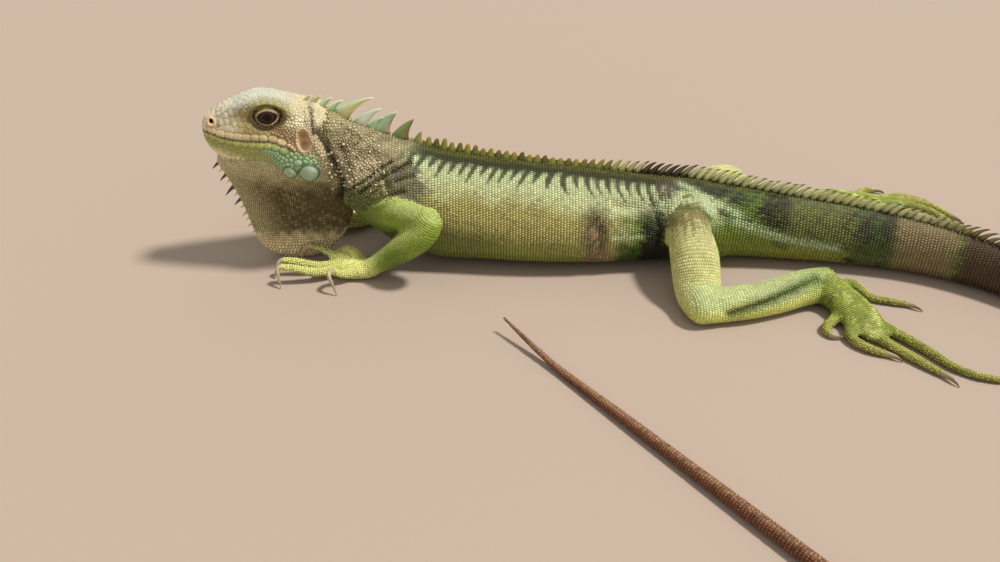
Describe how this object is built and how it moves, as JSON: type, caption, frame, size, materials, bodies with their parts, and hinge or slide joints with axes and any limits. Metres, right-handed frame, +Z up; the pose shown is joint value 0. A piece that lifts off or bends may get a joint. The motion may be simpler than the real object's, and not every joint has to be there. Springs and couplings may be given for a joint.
{
  "type": "green iguana",
  "caption": "Still life-size model of a green iguana resting on its belly, head raised, legs spread, tail curled round in a wide U.",
  "frame": {"origin": "on the floor under the middle of the belly", "axes": "+X from the head towards the hips, +Y to the animal's right, +Z up; the animal's left side faces -Y and its head points to -X"},
  "size_m": [0.5261, 0.3792, 0.1056],
  "materials": {
    "head_skin": "small smooth plates over dry skin",
    "jaw_skin": "glossy scales over skin",
    "neck_skin": "granular skin with tubercles",
    "dewlap_skin": "fine granular skin",
    "flank_skin": "small keeled scales over skin",
    "leg_skin": "keeled scales over skin",
    "foot_skin": "fine scales over skin",
    "tail_base_skin": "rings of keeled scales",
    "tail_middle_skin": "rings of keeled scales",
    "tail_end_skin": "rings of keeled scales",
    "claw": "hard horn, slightly glossy",
    "eye": "wet, glossy",
    "cheek_plate": "smooth horny plate"
  },
  "bodies": {
    "root": {"head": "head_skin", "lower_jaw": "jaw_skin", "neck": "neck_skin", "dewlap": "dewlap_skin", "chest": "flank_skin", "trunk": "flank_skin", "hip": "flank_skin", "tail_1": "tail_base_skin", "tail_2": "tail_middle_skin", "tail_3": "tail_middle_skin", "tail_4": "tail_end_skin", "tail_5": "tail_end_skin", "tail_6": "tail_end_skin", "tail_7": "tail_end_skin", "left_eye": "eye", "left_cheek_plate": "cheek_plate", "right_eye": "eye", "right_cheek_plate": "cheek_plate", "left_upper_arm": "leg_skin", "left_forearm": "leg_skin", "left_hand": "foot_skin", "left_hand_claw_1": "claw", "left_hand_claw_2": "claw", "left_hand_claw_3": "claw", "left_hand_claw_4": "claw", "left_hand_claw_5": "claw", "right_upper_arm": "leg_skin", "right_forearm": "leg_skin", "right_hand": "foot_skin", "right_hand_claw_1": "claw", "right_hand_claw_2": "claw", "right_hand_claw_3": "claw", "right_hand_claw_4": "claw", "right_hand_claw_5": "claw", "left_thigh": "leg_skin", "left_shank": "leg_skin", "left_foot": "foot_skin", "left_foot_claw_1": "claw", "left_foot_claw_2": "claw", "left_foot_claw_3": "claw", "left_foot_claw_4": "claw", "left_foot_claw_5": "claw", "right_thigh": "leg_skin", "right_shank": "leg_skin", "right_foot": "foot_skin", "right_foot_claw_1": "claw", "right_foot_claw_2": "claw", "right_foot_claw_3": "claw", "right_foot_claw_4": "claw", "right_foot_claw_5": "claw"}
  },
  "joints": []
}
